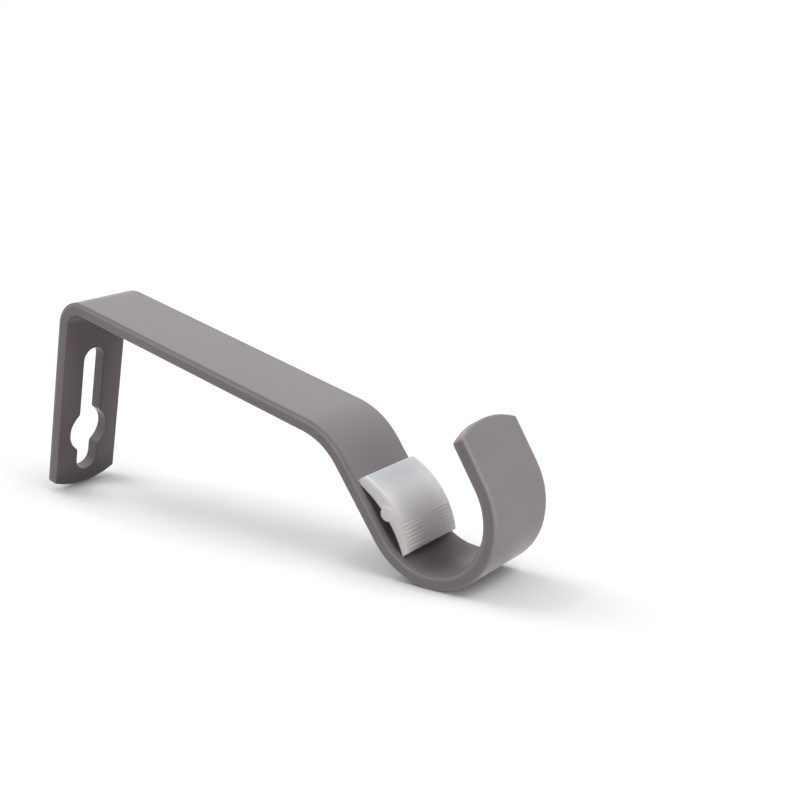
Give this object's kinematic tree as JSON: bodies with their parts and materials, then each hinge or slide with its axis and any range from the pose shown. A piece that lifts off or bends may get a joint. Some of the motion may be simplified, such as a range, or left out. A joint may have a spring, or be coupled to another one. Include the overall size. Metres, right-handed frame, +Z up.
{
  "type": "curtain rod bracket",
  "caption": "Wall bracket for a curtain rod: a bent flat steel strap with a keyhole wall plate, an arm and an open hook, and a bowed plastic spring pad in the hook.",
  "frame": {"origin": "on the wall face, on the middle line of the strap, at the axis of the mounting screw when the bracket hangs from the upper end of its keyhole", "axes": "+X out of the wall along the arm, +Y across the width of the strap, +Z up the wall"},
  "size_m": [0.1359, 0.02, 0.0694],
  "materials": {
    "strap_coating": "satin powder coating, grey brown",
    "pad_plastic": "natural, slightly cloudy moulded plastic"
  },
  "bodies": {
    "root": {"bracket_strap": "strap_coating", "spring_insert": "pad_plastic"}
  },
  "joints": []
}
